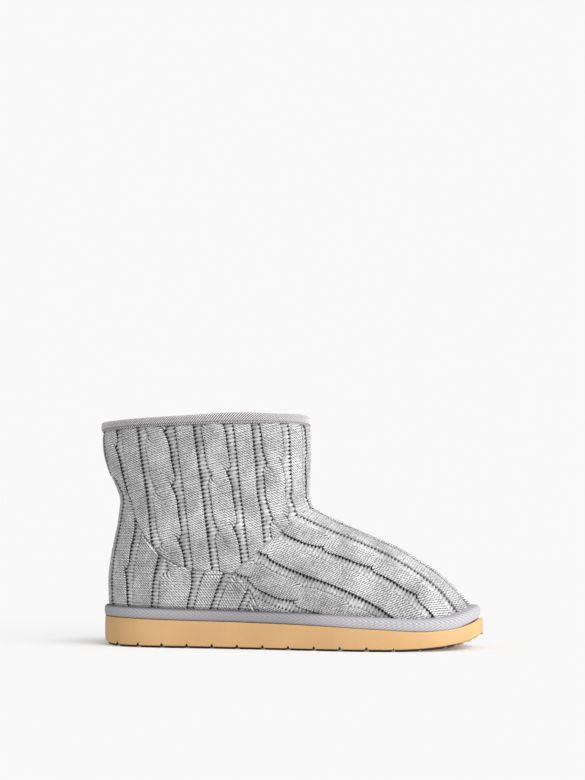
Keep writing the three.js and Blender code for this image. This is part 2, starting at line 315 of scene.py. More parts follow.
def smoothLine(points, steps=6):
    # more points on a smooth curve through the ones given
    place = walked(points)
    at = np.interp(np.arange((len(points) - 1) * steps + 1) / steps, np.arange(len(points)), place)
    return np.stack([curveThrough(place, points[:, k], at) for k in (0, 1)], -1)


def seamDistance(points, normals, line):
    # distance over the surface from a seam, more than nothing on the seam's left, and the way there
    flat = points[:, (0, 2)]
    best, signed, toward = np.full(len(flat), 1e9), np.zeros(len(flat)), np.zeros((len(flat), 2))
    for start, end in zip(line[:-1], line[1:]):
        along, off = end - start, offSegment(flat, start, end)
        away = np.hypot(off[:, 0], off[:, 1])
        closer = away < best
        side = np.sign(along[0] * off[:, 1] - along[1] * off[:, 0])
        best = np.where(closer, away, best)
        signed = np.where(closer, away * side, signed)
        toward = np.where(closer[:, None], off, toward)
    facing = toward[:, 0] * normals[:, 0] + toward[:, 1] * normals[:, 2]
    rise = facing / np.maximum(np.abs(normals[:, 1]), 0.2) * np.sign(normals[:, 1])
    way = np.stack([-toward[:, 0], rise, -toward[:, 1]], -1)
    leaning = facing / np.maximum(best, 1e-9)
    return signed / np.sqrt(np.maximum(1 - leaning ** 2, 0.04)), way


counterLine = smoothLine(counterSeam)
vampLine = smoothLine(vampSeam)

# The knit: plain ribs and cables between ladders of purl stitches
knit = {
    "row": 2.67 * mm,
    "legRise": 0.22,  # how far a stitch's legs climb, in rows
    "crest": 0.8 * mm,  # of a leg above the ground of the knit
    "legShares": [0, 0.17, 0.33, 0.5, 0.67, 0.83],
    "rowShares": [0, 0.2, 0.5, 0.8],
    "ladder": 6.4 * mm,
    "ladderShares": [0, 0.06, 0.14, 0.3, 0.5, 0.7, 0.86, 0.94],
    "ladderDepth": 0.4 * mm,
    # the Shade numbers here are painted shade and light: dark holes, rungs and rib edges beside the holes,
    # and bars painted lighter as if lit
    "ladderShade": 0.34,
    "barRise": 0.25 * mm,  # of a ladder's rungs, which are lighter too
    "barShade": 0.12,
    "rungDepth": 0.5 * mm,  # of a ladder's middle between its rungs
    "rungShade": 0.26,
    "holeAt": 0.06,  # shares of the ladder's width, from its sides
    "holeWidth": 0.1,
    "holeDepth": 2.4 * mm,
    "holeShade": 1.8,
    "openFrom": 0.3,  # how open the holes of an open ladder are at least
    "besideHole": 0.4 * mm,  # how far a hole darkens the rib beside it
    "besideShade": 0.8,
    "cableEvery": 14,  # rows from one crossing to the next
    "frontRows": 5.5,  # rows that a strand takes to pass over, and one to pass under
    "backRows": 2.0,
    "pull": 0.18,  # how far a crossing draws the ladders in, as a share of the cable
    "crossRise": 0.4 * mm,
    "crossSink": 0.5 * mm,
    "overRows": 4.2,  # reach of a crossing's rise and of its sinking, in rows
    "underRows": 2.6,
    "swell": 0.3,  # how much wider the strands grow there
    "swellRows": 3.5,
    "cableLip": 0.5 * mm,  # depths of a cable's floor at its edge and within
    "cableFloor": 2.2 * mm,
    "ribEdge": 0.25 * mm,  # how far a rib's edges fall
    "ruffle": 0.05 * mm,
    "fibres": 0.12,  # unevenness of the wool's shade
    "floor": -2.7 * mm,  # the knit's lowest place, outside the lining
}


def stitchForm(across, along):
    # a V of two legs: its height in crests, and its painted shade, darkest in the gap at its foot
    middle = bell(across - 0.5, 0.2)
    border = bell(np.minimum(across, 1 - across), 0.12)
    joint = bell(np.minimum(along, 1 - along), 0.3)
    # a diagonal furrow along the falling legs, sunk a little and painted in shade, so that the falling legs
    # show more than the rising ones
    fall = (across + along) % 1
    furrow = bell(np.minimum(fall, 1 - fall), 0.26)
    lift = 1 - 0.2 * border - 0.05 * joint - 0.1 * middle - 0.15 * furrow - 0.2 * middle * joint
    shade = 0.84 - 0.1 * border - 0.2 * furrow - 0.35 * middle * joint
    return lift, shade


def ribTemplate(start, width, count):
    # vertex columns of a plain rib: place, zigzag share, share of a stitch and of the rib
    legs = np.tile(knit["legShares"], count)
    shares = (legs + np.repeat(np.arange(count), len(knit["legShares"]))) / count
    return start + shares * width, np.abs(legs - 0.5) * 2, legs, shares


def crossings(rows, first):
    # rows from the nearest crossing, and the way that its front and back strands have swung
    every = knit["cableEvery"]
    turn = np.floor((rows - first) / every + 0.5)
    off = rows - first - turn * every
    front = -np.sin(np.clip(off / knit["frontRows"], -1, 1) * math.pi / 2)
    back = np.sin(np.clip(off / knit["backRows"], -1, 1) * math.pi / 2)
    return off, np.where(turn % 2 == 0, 1, -1), front, back


def bandPlaces(chart):
    # each band of a chart with its start, across the knit
    place = chart["start"]
    placed = []
    for kind, width, count in chart["bands"]:
        placed.append((kind, place, width, count))
        place += width
    return placed


def rowPlaces(chart):
    shares = np.array(knit["rowShares"])
    rows = np.arange(chart["rows"][0], chart["rows"][1])
    return (rows[:, None] + shares[None, :]).ravel(), np.tile(shares, len(rows))


def baseSheet(chart):
    # the ground of a panel: plain ribs and ladders, and a sunk floor under each cable, painted in shadow
    rows, within = rowPlaces(chart)
    _, _, front, back = crossings(rows, chart["crossing"])
    gap = bell(np.minimum(within, 1 - within), 0.2)[:, None]
    bar = bell(within - 0.5, 0.27)[:, None]
    sheet = {"p": [], "r": [], "lift": [], "shade": [], "u": []}
    # how far a crossing draws in what lies on its left and its right, as shares of the cable
    leftPull = knit["pull"] * (1 + np.minimum(front, back))[:, None]
    rightPull = knit["pull"] * (1 - np.maximum(front, back))[:, None]
    # the dots also set how dark each hole's painted shade is, on its left and its right side, as the light
    # falls
    dots = np.array(chart["dots"])  # places in millimetres, and how open the holes are there
    placed = bandPlaces(chart)
    cables = [0] + [width if name == "cable" else 0 for name, _, width, _ in placed] + [0]
    for (name, start, width, count), before, after in zip(placed, cables, cables[2:]):
        zig = 1
        if name == "plain":
            at, zig, legs, shares = ribTemplate(start, width, count)
            across = np.broadcast_to(at, (len(rows), len(at)))
            height, shade = stitchForm(legs, within[:, None])
            lift = knit["crest"] * height - knit["ribEdge"] * np.abs(shares * 2 - 1) ** 6
            # painted shade on the rib's edges beside each hole of a ladder
            near = bell(shares * width, knit["besideHole"]) + bell((1 - shares) * width, knit["besideHole"])
            near = near * np.interp(at, dots[:, 0] * mm, dots[:, 1:].max(axis=1))
            shade = shade - knit["besideShade"] * gap * near
            legs = shares * count
        elif name == "ladder":
            shares = np.array(knit["ladderShares"])
            across = start + shares * width + shares * after * leftPull - (1 - shares) * before * rightPull
            left, right = (np.interp(start, dots[:, 0] * mm, dots[:, k]) for k in (1, 2))
            opened = max(left, right)
            hole = gap * (left * bell(shares - knit["holeAt"], knit["holeWidth"])
                          + right * bell(1 - shares - knit["holeAt"], knit["holeWidth"]))
            rung = gap * bell(shares - 0.5, 0.32) * opened
            lift = knit["barRise"] * bar * opened - knit["ladderDepth"] * opened - knit["holeDepth"] * hole
            lift = lift - knit["rungDepth"] * rung
            # painted shade: dark holes at the sides and dark rungs between them, and bars painted lighter as
            # if lit
            shade = knit["ladderShade"] + knit["barShade"] * bar
            shade = shade - knit["holeShade"] * hole - knit["rungShade"] * rung
            # an open ladder follows the hatch's own slope, so that none shows on it
            legs = shares * 0.2 - 1.5 * rows[:, None] if opened > knit["openFrom"] else shares * 3
        else:
            shares = np.array([0, 0.05, 0.5, 0.95])
            across = start + width * (shares + (1 - shares) * leftPull - shares * rightPull)
            lift = -np.where(shares == 0, knit["cableLip"], knit["cableFloor"])
            # the cable's floor is painted in full shadow, and its lip a little
            shade, legs = np.where(shares == 0, 0.7, 0), shares * 2
        up = (rows[:, None] + zig * knit["legRise"]) * chart["row"]
        shape = across.shape
        for key, new in (("p", across), ("r", up), ("lift", lift), ("shade", shade), ("u", legs)):
            sheet[key].append(np.broadcast_to(new, shape))
    sheet = {key: np.concatenate(parts, axis=1) for key, parts in sheet.items()}
    sheet["v"] = np.broadcast_to(rows[:, None], sheet["p"].shape)
    return sheet


def cableStrands(chart):
    # two flat strands of stitches for each cable, which change places at every crossing
    strands = []
    rows, within = rowPlaces(chart)
    off, side, front, back = crossings(rows, chart["crossing"])
    for name, start, width, count in bandPlaces(chart):
        if name != "cable":
            continue
        for first in (1, -1):
            onTop = side == first
            swing = np.where(onTop, front, back)
            at, zig, legs, shares = ribTemplate(-0.5, 1, count // 2)
            at, zig, legs, shares = (np.append(row, end) for row, end in
                                     ((at, 0.5), (zig, 1), (legs, 1), (shares, 1)))
            near = np.where(onTop, bell(off, knit["overRows"]), bell(off, knit["underRows"]))[:, None]
            over = onTop[:, None]
            centre = start + width / 2 + swing * width / 4
            swell = 1 + knit["swell"] * bell(off, knit["swellRows"])
            across = centre[:, None] + at * (width / 2) * swell[:, None]
            up = (rows[:, None] + zig * knit["legRise"]) * chart["row"]
            rim, crown = np.abs(at * 2) ** 5, 1 - (at * 2) ** 2
            height, shade = stitchForm(legs, within[:, None])
            outside = np.where(swing[:, None] * at > 0, 1.0, 0.15)
            lift = knit["crest"] * height
            lift = lift + np.where(over, knit["crossRise"] * near * (0.45 + 0.55 * crown),
                                   -knit["crossSink"] * near)
            lift = lift - rim * (knit["ribEdge"] * outside + np.where(over, 0.5 * mm * near, 0))
            # painted shade at each crossing: on the strand that passes under, and at the edges of the one on
            # top
            shade = shade * (1 - 0.25 * near * np.where(over, rim, 0.5 + 0.4 * rim))
            strands.append({"p": across, "r": up, "lift": lift, "shade": shade,
                            "u": np.broadcast_to(shares * (count // 2), up.shape),
                            "v": np.broadcast_to(rows[:, None], up.shape)})
    return strands


def bandsBetween(ladders, first):
    # plain ribs and cables by turns between ladders, whose middles are given in millimetres
    kinds = [("plain", 2.1), ("cable", 2.0)] if first == "plain" else [("cable", 2.0), ("plain", 2.1)]
    bands = [("ladder", knit["ladder"], 2)]
    for i, gap in enumerate(np.diff(ladders)):
        kind, stitch = kinds[i % 2]
        width = gap - knit["ladder"] / mm
        bands += [(kind, width * mm, 2 * max(1, round(width / stitch / 2))), ("ladder", knit["ladder"], 2)]
    return {"start": ladders[0] * mm - knit["ladder"] / 2, "bands": bands}


# Where each panel's knit lies. A chart gives a place across (p) and along the columns (r), and
# each place function turns it into an angle round the boot and a height share.
lean = {"turn": math.radians(6.43), "skew": 0.094, "level": 74 * mm, "ankle": 0.56}


def shaftTable():
    arcs = walked(skin)
    places = np.linspace(-140 * mm, 100 * mm, 961)
    front = np.argmin(abs(skinAngles - math.pi))
    sides = []
    for side, part in ((1, slice(0, front + 1)), (-1, slice(None, front - 1, -1))):
        xs, arc = skin[:, part, 0], arcs[:, part] * side
        # the outer half starts before the back's middle, so only what rises to the front counts
        rising = np.argmin(xs[len(xs) // 2])
        middle = np.array([np.interp(lean["level"], x[rising:], row[rising:]) for x, row in zip(xs, arc)])
        sides.append((arc - middle[:, None], skinAngles[part]))
    ankle = int(lean["ankle"] * (len(skinHeights) - 1))
    whole = sides[0][0][-1, -1]
    tables = []
    for away, angle in sides:
        reach = np.where(np.arange(len(away)) < ankle, away[ankle, -1], away[:, -1])
        spread = (whole - reach)[:, None] * smooth(away / whole, 0, 1)
        tables.append(np.stack([np.interp(places, row, angle) for row in away + spread]))
    return places, tables, whole


shaftPlaces, shaftAngles, shaftFront = shaftTable()


def placeOnShaft(p, r):
    c, s = math.cos(lean["turn"]), math.sin(lean["turn"])
    q = r + lean["skew"] * p
    girth, height = p * c - q * s, (p * s + q * c) / wallHeight
    column = stepOf(shaftFront - np.abs(girth - shaftFront), shaftPlaces)
    outer, inner = (between(table, column, stepOf(height, skinHeights)) for table in shaftAngles)
    return np.where(girth > shaftFront, inner, outer), height


ridge = {"slope": math.radians(28), "straightFrom": 80 * mm, "spread": 1.8, "girth": 170 * mm}


def vampTable():
    c, s = math.cos(ridge["slope"]), math.sin(ridge["slope"])
    chosen = np.where((skinAngles > math.radians(20)) & (skinAngles < math.radians(340)))[0][::-1]
    angles = skinAngles[chosen]
    along = skin[:, chosen, 0] * c - skin[:, chosen, 2] * s
    places = np.linspace(55 * mm, 235 * mm, 361)
    heights = np.stack([
        np.interp(-places, np.maximum.accumulate(-along[:, k]), skinHeights) for k in range(len(angles))
    ], -1)
    girth = walked(onSkin(skin, angles, heights))
    middle = np.argmin(abs(angles - math.pi))
    girth -= girth[:, middle:middle + 1]
    girth -= ridge["spread"] * np.maximum(ridge["straightFrom"] - places, 0)[:, None] * np.sign(girth)
    girth = np.maximum.accumulate(girth + np.arange(girth.shape[1]) * 1e-9, axis=1)
    across = np.linspace(-ridge["girth"], ridge["girth"], 501)
    angleOf = np.stack([np.interp(across, row, angles) for row in girth])
    heightOf = np.stack([np.interp(across, row, high) for row, high in zip(girth, heights)])
    return places, across, (angleOf, heightOf)


vampPlaces, vampAcross, vampTables = vampTable()


def placeOnVamp(p, r):
    return [between(table, stepOf(p, vampAcross), stepOf(r, vampPlaces)) for table in vampTables]


heelLean = {"growth": 6.05, "from": 29.3 * mm, "level": 22 * mm}


def counterTable():
    arcs = walked(skin)
    back = np.argmin(abs(skinAngles))
    places = np.linspace(-190 * mm, 190 * mm, 1521)
    return places, np.stack([np.interp(places, row - row[back], skinAngles) for row in arcs])


counterPlaces, counterAngles = counterTable()


def placeOnCounter(p, r):
    leaning = heelLean["growth"] * np.maximum(np.abs(p) - heelLean["from"], 0) * np.sign(p)
    girth = p + leaning * (r - heelLean["level"])
    height = r / wallHeight
    return between(counterAngles, stepOf(girth, counterPlaces), stepOf(height, skinHeights)), height


tape = {"bandHeight": 7.6 * mm, "bandGrowth": 0.9 * mm, "binding": 5.9 * mm}


def bandTopAt(x):
    return tape["bandHeight"] + tape["bandGrowth"] * np.clip(x / form["soleLength"], 0, 1)


seam = {"overlap": 2.4 * mm, "vampOverlap": 1 * mm, "sink": 2.2 * mm, "underBand": 2.2 * mm,
        "underBinding": 2 * mm, "drawIn": 1.6 * mm}


# Each edge function tells how far inside its panel's edges a point is, the relief that the seams
# give it, and the way to the seam where faces are drawn in to it
def underSeams(fromCounter, fromVamp):
    # the shaft and the vamp run on under their two seams, and sink there
    sunk = smooth(fromVamp, 1.4 * mm, -1 * mm) + smooth(fromCounter, 0.8 * mm, -1 * mm)
    return np.minimum(fromCounter + seam["overlap"], fromVamp + seam["vampOverlap"]), -seam["sink"] * sunk


def shaftEdge(points, normals, height, angle):
    fromCounter, _ = seamDistance(points, normals, counterLine)
    fromVamp, _ = seamDistance(points, normals, vampLine)
    inside, relief = underSeams(fromCounter, fromVamp)
    top = (1 - height) * wallHeight - tape["binding"] + seam["underBinding"]
    fromBack = 50 * mm * np.abs((angle + math.pi) % (2 * math.pi) - math.pi)
    relief -= 1.1 * mm * bell(fromBack, 1.3 * mm)
    relief -= 0.5 * mm * smooth(top, 4.5 * mm, 2 * mm)
    relief -= 0.8 * mm * smooth(np.abs(angle - math.pi), 0.4, 1.1)
    return np.minimum(inside, top), relief, None


def aboveBand(points, height):
    return height * wallHeight - bandTopAt(points[:, 0]) + seam["underBand"]


def vampEdge(points, normals, height, angle):
    fromCounter, _ = seamDistance(points, normals, counterLine)
    fromVamp, _ = seamDistance(points, normals, vampLine)
    inside, relief = underSeams(fromCounter, -fromVamp)
    foot = aboveBand(points, height)
    relief -= 0.9 * mm * smooth(foot, 4.5 * mm, 1.5 * mm)
    relief += 1.1 * mm * bell(points[:, 0] - 232 * mm, 20 * mm) * smooth(points[:, 2], 30 * mm, 45 * mm)
    return np.minimum(inside, foot), relief, None


# Ridges and furrows along the counter's seam: height, place in from it and reach, in millimetres
beads = {"rim": (0.8, 1.1, 0.9), "furrow": (-0.9, 2.7, 0.6), "second": (1.1, 4.2, 1.0)}


def beadAt(name, away):
    height, place, reach = beads[name]
    return height * mm * bell(away - place * mm, reach * mm)


def counterEdge(points, normals, height, angle):
    fromSeam, way = seamDistance(points, normals, counterLine)
    fromSeam = -fromSeam
    foot = aboveBand(points, height)
    forward = smooth(points[:, 0], 66 * mm, 92 * mm)
    middle = bell(points[:, 0] - 60 * mm, 26 * mm)
    low = 0.3 + 0.7 * smooth(points[:, 2], 116 * mm, 88 * mm)
    relief = beadAt("rim", fromSeam) * (1 - 0.4375 * middle) * low
    relief += (beadAt("second", fromSeam) + beadAt("furrow", fromSeam)) * forward
    relief += (1.1 * low - 1.8 - 1.8 * low * smooth(fromSeam, 0.9 * mm, 0)) * mm
    relief -= 1.2 * mm * smooth(foot, 4 * mm, 1 * mm)
    way[(fromSeam > 0) | (fromSeam < -seam["drawIn"]) | (foot < 0)] = 0
    return np.minimum(fromSeam, foot), relief, way


def knitPanel(name, chart, place, edge, keep):
    sheets = [baseSheet(chart)] + cableStrands(chart)
    mesh = gridMesh(name, [sheet["r"].shape for sheet in sheets])
    join = {key: np.concatenate([sheet[key].ravel() for sheet in sheets]) for key in sheets[0]}
    angle, height = place(join["p"], join["r"])
    points, normals = onSkin(skin, angle, height), onSkin(skinNormals, angle, height)
    inside, relief, way = edge(points, normals, height, angle)
    faces = cornersOf(mesh).reshape(-1, 4)
    corners = (inside > 0) & keep(angle, height, join["p"])
    whole = corners[faces].all(axis=1)
    if way is not None:
        # faces across the seam stay, with their outer corners drawn in to it
        whole = corners[faces].any(axis=1) & (inside[faces] > -seam["drawIn"]).all(axis=1)
        points = points + way
    rng = np.random.default_rng(chart["seed"])
    ruffle = rng.normal(0, knit["ruffle"], len(points))
    fibres = rng.normal(0, knit["fibres"], len(points))
    raised = np.maximum(join["lift"] + relief, knit["floor"]) + ruffle
    placeVertices(mesh, points + normals * raised[:, None])
    # painted shade of gaps, holes and cable floors, with a random unevenness of tone
    addValue(mesh, "shade", join["shade"] + fibres)
    addUv(mesh, "yarn", join["u"], join["v"])
    bm = bmesh.new()
    bm.from_mesh(mesh)
    bm.faces.ensure_lookup_table()
    bmesh.ops.delete(bm, geom=[bm.faces[i] for i in np.flatnonzero(~whole)], context="FACES")
    return finishMesh(name, mesh, bm)


# The middles of each panel's ladders across its chart, in millimetres
outerLadders = [-107, -84.2, -64.9, -41.9, -22.6, 0.4, 19, 40.1, 57.9, 78.1, 96.1]
innerLadders = [96.1, 116.7, 134.9, 155.5, 173.7, 194.3, 212.5, 235.5, 254.8, 277.8, 297.1]
vampLadders = [-127, -107, -87.5, -66.9, -48.1, -28.1, -11.4, 7.6, 28.1, 46.9, 67.5, 88.8, 108, 128, 147,
               167]
heelLadders = [21.7, 40.9, 62.2, 90.3, 108.7, 130, 150, 170]
shaftOuterChart = {
    **bandsBetween(outerLadders, "cable"), "row": knit["row"], "rows": (6, 60), "crossing": 34.9, "seed": 3,
    "dots": [(-42, 1, 0.7), (20, 1, 1), (60, 0.7, 1), (78, 0.3, 0.8), (96, 0.25, 0.6)],
}
shaftInnerChart = {
    **bandsBetween(innerLadders, "cable"), "row": knit["row"], "rows": (-2, 60), "crossing": 34.9, "seed": 4,
    "dots": [(0, 0.8, 0.8), (200, 0.8, 0.8)],
}
vampOuterChart = {
    **bandsBetween(vampLadders[7:], "plain"), "row": 2.52 * mm, "rows": (24, 92), "crossing": 43.7, "seed": 5,
    "dots": [(5, 0.25, 0.08), (26, 0.7, 0.15), (45, 0.95, 0.3), (65, 1, 0.4), (86, 0.8, 0.6)],
}
vampInnerChart = {
    **bandsBetween(vampLadders[:8], "cable"), "row": 2.52 * mm, "rows": (24, 92), "crossing": 43.7, "seed": 6,
    "dots": [(-100, 0.7, 0.9), (-25, 0.7, 0.8), (-12, 0.1, 0.1), (5, 0.1, 0.1)],
}
counterChart = {
    **bandsBetween([-p for p in heelLadders[::-1]] + heelLadders, "cable"),
    "row": 2.6 * mm, "rows": (0, 42), "crossing": 12.8, "seed": 7,
    "dots": [(-150, 0.8, 0.8), (150, 0.8, 0.8)],
}


def makeKnit():
    split = shaftInnerChart["start"] + 1e-6
    ridgeSplit = vampOuterChart["start"] + 1e-6
    outer = knitPanel("knitShaftOuter", shaftOuterChart, placeOnShaft, shaftEdge,
                      lambda angle, height, p: (angle > -0.002) & (height < 1) & (p <= split))
    inner = knitPanel("knitShaftInner", shaftInnerChart, placeOnShaft, shaftEdge,
                      lambda angle, height, p: (angle < 2 * math.pi + 0.002) & (height < 1))
    vampOuter = knitPanel("knitVampOuter", vampOuterChart, placeOnVamp, vampEdge,
                          lambda angle, height, p: height > 0.001)
    vampInner = knitPanel("knitVampInner", vampInnerChart, placeOnVamp, vampEdge,
                          lambda angle, height, p: (height > 0.001) & (p <= ridgeSplit))
    counter = knitPanel("knitCounter", counterChart, placeOnCounter, counterEdge,
                        lambda angle, height, p: height > 0.001)
    return [outer, inner, vampOuter, vampInner], counter


def gridMesh(name, shapes, size=1):
    # one sheet of faces for each number of rows and columns of points
    bm = bmesh.new()
    for rows, columns in shapes:
        bmesh.ops.create_grid(bm, x_segments=columns - 1, y_segments=rows - 1, size=size)
    mesh = bpy.data.meshes.new(name)
    bm.to_mesh(mesh)
    bm.free()
    return mesh


def placeVertices(mesh, points):
    mesh.vertices.foreach_set("co", (points + heelCorner).astype(np.float32).ravel())


def sheetMesh(name, points):
    mesh = gridMesh(name, [points.shape[:2]])
    placeVertices(mesh, points)
    return mesh


def closeRows(table):
    return np.concatenate([table, table[:, :1]], axis=1)


def closeTube(table):
    closed = closeRows(table)
    return np.concatenate([closed, closed[:1]])


def cornersOf(mesh):
    loops = np.empty(len(mesh.loops), np.int32)
    mesh.loops.foreach_get("vertex_index", loops)
    return loops


def addUv(mesh, name, u, v):
    layer = mesh.uv_layers.new(name=name)
    uv = np.stack([u.ravel(), v.ravel()], -1)[cornersOf(mesh)]
    layer.data.foreach_set("uv", uv.astype(np.float32).ravel())


def addValue(mesh, name, values):
    layer = mesh.attributes.new(name, "FLOAT", "POINT")
    layer.data.foreach_set("value", np.asarray(values, np.float32).ravel())


def finishMesh(name, mesh, bm):
    for face in bm.faces:
        face.smooth = True
    bm.to_mesh(mesh)
    bm.free()
    print(name, sum(len(p.vertices) - 2 for p in mesh.polygons), "triangles")
    return addObject(name, mesh)


def closeMesh(name, mesh, merge=1e-6, fill=False):
    bm = bmesh.new()
    bm.from_mesh(mesh)
    bmesh.ops.remove_doubles(bm, verts=bm.verts, dist=merge)
    if fill:
        bmesh.ops.holes_fill(bm, edges=bm.edges, sides=0)
    bmesh.ops.recalc_face_normals(bm, faces=bm.faces)
    return finishMesh(name, mesh, bm)


def tapePiece(name, sections, across, sunk, lap, thread):
    # a closed tube of sections round the boot, whose weave runs on for lap ribs where its ends meet
    mesh = sheetMesh(name, closeTube(np.stack(sections, axis=1)))
    twill = closeRows(np.stack(across, axis=1))
    twill = np.concatenate([twill, twill[:1] + lap])
    addUv(mesh, "weave", twill, np.broadcast_to(thread, twill.shape))
    addValue(mesh, "sunk", closeTube(np.stack(sunk, axis=1)))
    return closeMesh(name, mesh)


def anglesRound(count):
    return np.linspace(0, 2 * math.pi, count, endpoint=False)


def roundedSection(radius, steps):
    # the outer side of a strip of size one, from its lower inner corner round to its upper one
    turn = np.linspace(-math.pi / 2, math.pi / 2, steps)
    flat = np.sign(np.sin(turn)) * np.abs(np.sin(turn)) ** 0.55
    out = np.abs(np.cos(turn)) ** 0.4
    return 1 - radius * (1 - out), (flat + 1) / 2


# The foxing's colour is painted darker towards the heel and waist, in its twill's furrows near the toe, and
# along its top and foot edges, as painted shade
foxing = {"count": 2400, "twill": 3.7 * mm, "slope": 2.0, "twillDepth": 0.06 * mm, "toeTwill": 0.16 * mm,
          "proud": 0.5 * mm, "toeInset": 2.3 * mm, "round": 0.62, "steps": 25, "settled": 0.9 * mm,
          "heelShade": 0.27, "waistShade": 0.15, "furrow": 0.14, "topShadow": 0.5, "footShadow": 0.35}


def makeFoxing():
    angle = anglesRound(foxing["count"])
    edge = soleEdge(angle)
    x = edge[:, 0]
    toward = x / form["soleLength"]
    tall = bandTopAt(x) - 0.1 * mm
    foot = levelRing(angle, 0, -0.6 * mm)[:, :2]
    head = levelRing(angle, tall / wallHeight, -1.2 * mm)[:, :2]
    settled = foxing["settled"] * smooth(toward, 0.84, 0.96)  # deeper in the sole round the toe
    base = soleTopAt(x) + 0.15 * mm - settled
    tall = tall + settled
    out, up = roundedSection(foxing["round"], foxing["steps"])
    arc = walked(edge)
    ahead = np.roll(edge, -1, axis=0) - np.roll(edge, 1, axis=0)
    normal = np.stack([ahead[:, 1], -ahead[:, 0]], -1)
    normal /= np.linalg.norm(normal, axis=1, keepdims=True)
    deep = foxing["twillDepth"] + foxing["toeTwill"] * smooth(toward, 0.55, 0.85)
    inset = foxing["toeInset"] * smooth(toward, 0.9, 0.995)
    # painted shade, darker from the heel to the waist, on the side away from the light
    shadedBack = foxing["heelShade"] + foxing["waistShade"] * bell(toward - 0.42, 0.2)
    shadedBack = shadedBack * (1 - smooth(toward, 0.5, 0.72))
    forward = smooth(toward, 0.6, 0.85)
    sections, across, sunk = [], [], []
    for share, reach in zip(up, out):
        inside = foot + (head - foot) * share
        twill = (arc + np.abs(share - 0.5) * bandTopAt(x) * foxing["slope"]) / foxing["twill"]
        wave = np.cos(2 * math.pi * twill)
        rib = wave * deep * min(1, 4 * min(share, 1 - share))
        proud = foxing["proud"] * math.sin(math.pi * share) + rib - inset
        outer = (edge - inside) * reach + normal * proud[:, None]
        sections.append(np.concatenate([inside + outer, (base + tall * share)[:, None]], axis=1))
        across.append(twill)
        # painted shadow along the top edge, under the knit, and along the foot, against the sole; painted
        # shade in the twill's furrows towards the toe
        edges = foxing["topShadow"] * bell(share - 1, 0.14) + foxing["footShadow"] * bell(share, 0.1)
        furrow = foxing["furrow"] * forward * (1 - wave) / 2
        sunk.append(np.clip(shadedBack + furrow + edges * (1 - 0.5 * forward), 0, 1))
    sections.append(np.concatenate([head, (base + tall)[:, None]], axis=1))
    sections.append(np.concatenate([foot, base[:, None]], axis=1))
    across += [across[-1], across[0]]
    sunk += [sunk[-1], sunk[0]]
    lap = (arc[-1] + 0.3 * mm) / foxing["twill"]
    thread = np.concatenate([up, [1.1, 1.2, 1.3]]) * 16
    return tapePiece("foxingTape", sections, across, sunk, lap, thread)


collar = {"count": 2000, "twill": 1.65 * mm, "slope": 0.9, "twillDepth": 0.34 * mm, "stitchPitch": 2.6 * mm,
          "stitchUp": 1.0 * mm, "stitchDepth": 0.45 * mm, "rim": 1.5 * mm, "rise": 0.5 * mm,
          "crown": 1.1 * mm, "crownAt": 103 * mm, "crownWidth": 22 * mm,
          "endRise": 0.6 * mm, "endReach": 1.0 * mm, "proud": 0.6 * mm, "within": 1.2 * mm,
          "bulge": 0.3 * mm, "lip": 0.5 * mm, "stitchWidth": 0.33 * mm, "backShade": 0.07}


